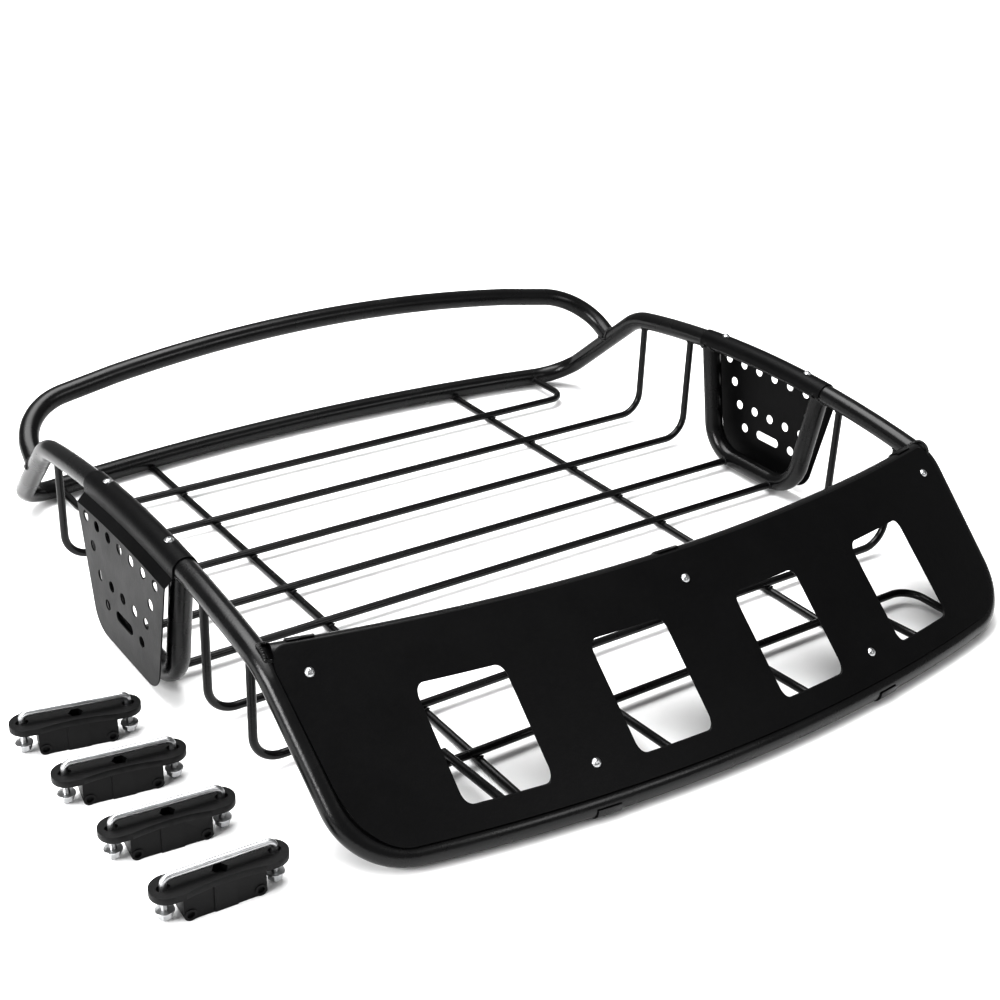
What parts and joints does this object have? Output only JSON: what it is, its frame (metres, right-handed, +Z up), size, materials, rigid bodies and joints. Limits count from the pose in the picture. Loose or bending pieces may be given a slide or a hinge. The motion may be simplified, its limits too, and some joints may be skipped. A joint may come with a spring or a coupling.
{
  "type": "roof cargo basket",
  "caption": "Welded tube-and-rod roof cargo basket with a wind fairing, rear hoop, perforated side covers and loose U-bolt bar clamps.",
  "frame": {"origin": "on the ground under the basket's middle: halfway across, and halfway between the two middle cross rods", "axes": "+Z up; the fairing faces -Y (forwards), the hoop is at +Y, +X is to the right seen from the front"},
  "size_m": [1.1245, 0.9889, 0.2005],
  "materials": {
    "powder_coat": "satin black powder coat",
    "sheet_coat": "satin black powder coat on sheet",
    "zinc": "bright zinc plate",
    "black_plastic": "matte moulded black"
  },
  "bodies": {
    "basket": {"rear_rim_tube": "powder_coat", "front_rim_tube": "powder_coat", "rail_splices": "zinc", "rear_hoop": "powder_coat", "fairing_top_bar": "powder_coat", "cross_rod_1": "powder_coat", "cross_rod_2": "powder_coat", "cross_rod_3": "powder_coat", "cross_rod_4": "powder_coat", "cross_rod_5": "powder_coat", "cross_rod_6": "powder_coat", "cross_rod_7": "powder_coat", "cross_rod_8": "powder_coat", "long_rod_left": "powder_coat", "long_rod_right": "powder_coat", "front_tie_rods": "powder_coat", "side_u_tube_left": "powder_coat", "side_u_tube_right": "powder_coat", "side_cover_left": "sheet_coat", "side_cover_right": "sheet_coat", "cover_screws": "zinc", "fairing_sheet": "sheet_coat", "fairing_straps_top": "powder_coat", "fairing_straps_low": "powder_coat", "fairing_screws": "zinc", "fairing_nuts": "zinc"},
    "clamp_1_saddle": {"saddle_1": "black_plastic"},
    "clamp_1_bolt": {"u_bolt_1": "zinc"},
    "clamp_1_nuts": {"washers_1": "zinc", "nuts_1": "zinc"},
    "clamp_2_saddle": {"saddle_2": "black_plastic"},
    "clamp_2_bolt": {"u_bolt_2": "zinc"},
    "clamp_2_nuts": {"washers_2": "zinc", "nuts_2": "zinc"},
    "clamp_3_saddle": {"saddle_3": "black_plastic"},
    "clamp_3_bolt": {"u_bolt_3": "zinc"},
    "clamp_3_nuts": {"washers_3": "zinc", "nuts_3": "zinc"},
    "clamp_4_saddle": {"saddle_4": "black_plastic"},
    "clamp_4_bolt": {"u_bolt_4": "zinc"},
    "clamp_4_nuts": {"washers_4": "zinc", "nuts_4": "zinc"}
  },
  "joints": [
    {"name": "clamp_1_lift", "type": "slide", "parent": "basket", "child": "clamp_1_saddle", "axis": [0, 0, 1], "range_m": [0, 0.15]},
    {"name": "clamp_1_bolt_slide", "type": "slide", "parent": "clamp_1_saddle", "child": "clamp_1_bolt", "axis": [0, 0, 1], "range_m": [-0.006, 0.008]},
    {"name": "clamp_1_nuts_run", "type": "slide", "parent": "clamp_1_bolt", "child": "clamp_1_nuts", "axis": [0, 0, 1], "range_m": [0, 0.008]},
    {"name": "clamp_2_lift", "type": "slide", "parent": "basket", "child": "clamp_2_saddle", "axis": [0, 0, 1], "range_m": [0, 0.15]},
    {"name": "clamp_2_bolt_slide", "type": "slide", "parent": "clamp_2_saddle", "child": "clamp_2_bolt", "axis": [0, 0, 1], "range_m": [-0.006, 0.008]},
    {"name": "clamp_2_nuts_run", "type": "slide", "parent": "clamp_2_bolt", "child": "clamp_2_nuts", "axis": [0, 0, 1], "range_m": [0, 0.008]},
    {"name": "clamp_3_lift", "type": "slide", "parent": "basket", "child": "clamp_3_saddle", "axis": [0, 0, 1], "range_m": [0, 0.15]},
    {"name": "clamp_3_bolt_slide", "type": "slide", "parent": "clamp_3_saddle", "child": "clamp_3_bolt", "axis": [0, 0, 1], "range_m": [-0.006, 0.008]},
    {"name": "clamp_3_nuts_run", "type": "slide", "parent": "clamp_3_bolt", "child": "clamp_3_nuts", "axis": [0, 0, 1], "range_m": [0, 0.008]},
    {"name": "clamp_4_lift", "type": "slide", "parent": "basket", "child": "clamp_4_saddle", "axis": [0, 0, 1], "range_m": [0, 0.15]},
    {"name": "clamp_4_bolt_slide", "type": "slide", "parent": "clamp_4_saddle", "child": "clamp_4_bolt", "axis": [0, 0, 1], "range_m": [-0.006, 0.008]},
    {"name": "clamp_4_nuts_run", "type": "slide", "parent": "clamp_4_bolt", "child": "clamp_4_nuts", "axis": [0, 0, 1], "range_m": [0, 0.008]}
  ]
}
